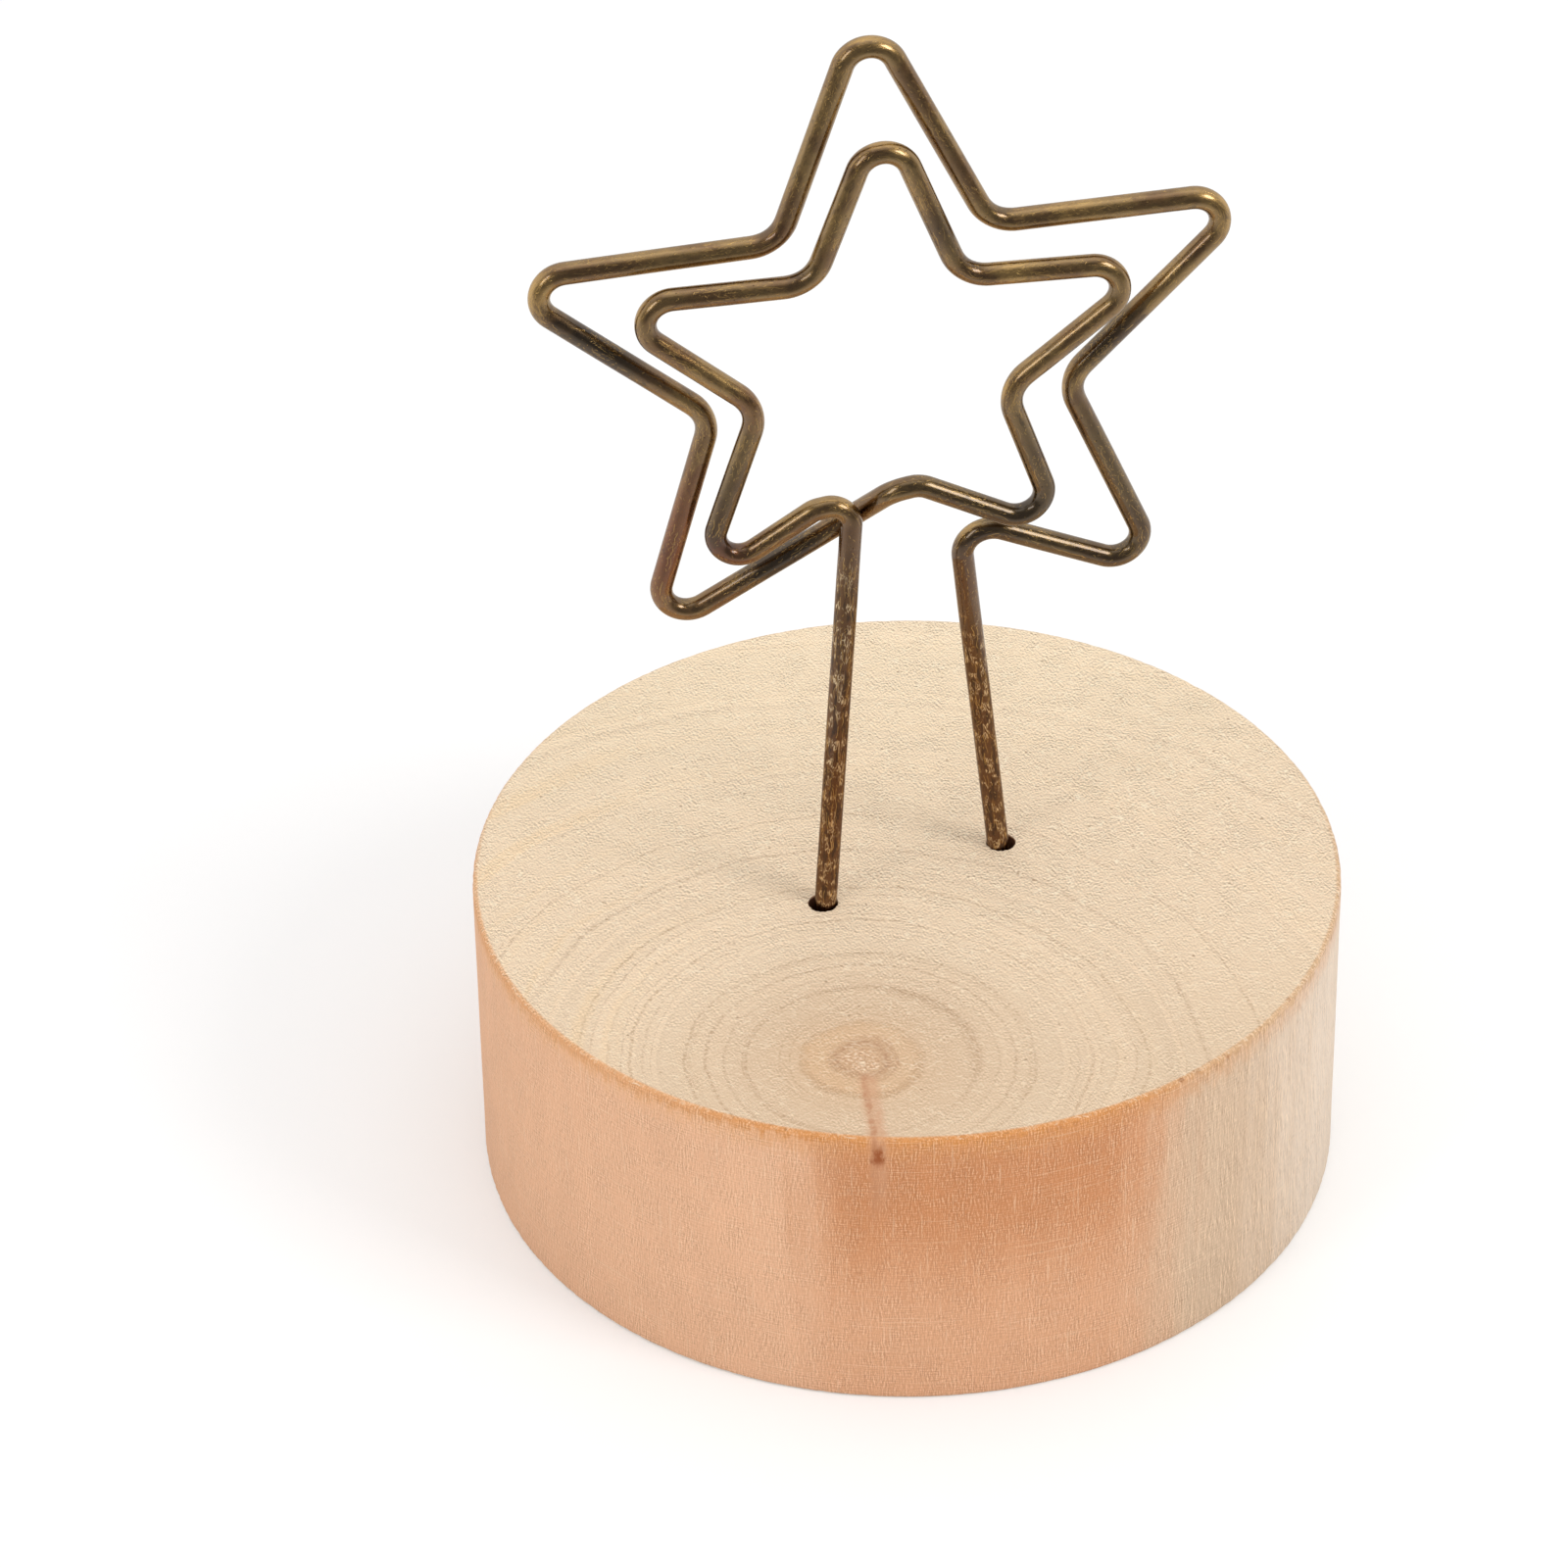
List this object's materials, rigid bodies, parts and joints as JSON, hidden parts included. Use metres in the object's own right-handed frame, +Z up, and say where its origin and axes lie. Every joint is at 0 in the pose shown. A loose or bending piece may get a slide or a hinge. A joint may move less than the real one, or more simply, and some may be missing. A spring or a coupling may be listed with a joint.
{
  "type": "memo clip holder",
  "caption": "Round end-grain wooden block with a bent bronze wire clip: two nested star loops on two legs, which pinch a card or photo between them.",
  "frame": {"origin": "centre of the wooden block's underside", "axes": "+Z up along the block's axis; the stars stand parallel to the XZ plane, with the small one in front, towards -Y"},
  "size_m": [0.04, 0.04, 0.0588],
  "materials": {
    "end_grain_wood": "sanded and unvarnished: fine growth rings on the sawn faces, upright fibres round the side",
    "antique_bronze_wire": "antique bronze plating: olive brown with reddish patches, rubbed bright along fine lengthwise scratches"
  },
  "bodies": {
    "block": {"wooden_block": "end_grain_wood"},
    "clip": {"left_leg": "antique_bronze_wire", "large_star": "antique_bronze_wire", "right_leg": "antique_bronze_wire"},
    "small_loop": {"small_star": "antique_bronze_wire"}
  },
  "joints": [
    {"name": "clip_lift", "type": "slide", "parent": "block", "child": "clip", "axis": [0, 0, 1], "range_m": [0, 0.01]},
    {"name": "star_spring", "type": "hinge", "parent": "clip", "child": "small_loop", "pos_m": [-0.00374, -0.00116, 0.03597], "axis": [0.9835, 0, 0.1807], "range_deg": [0, 10], "stiffness_Nm_per_rad": 0.25}
  ]
}
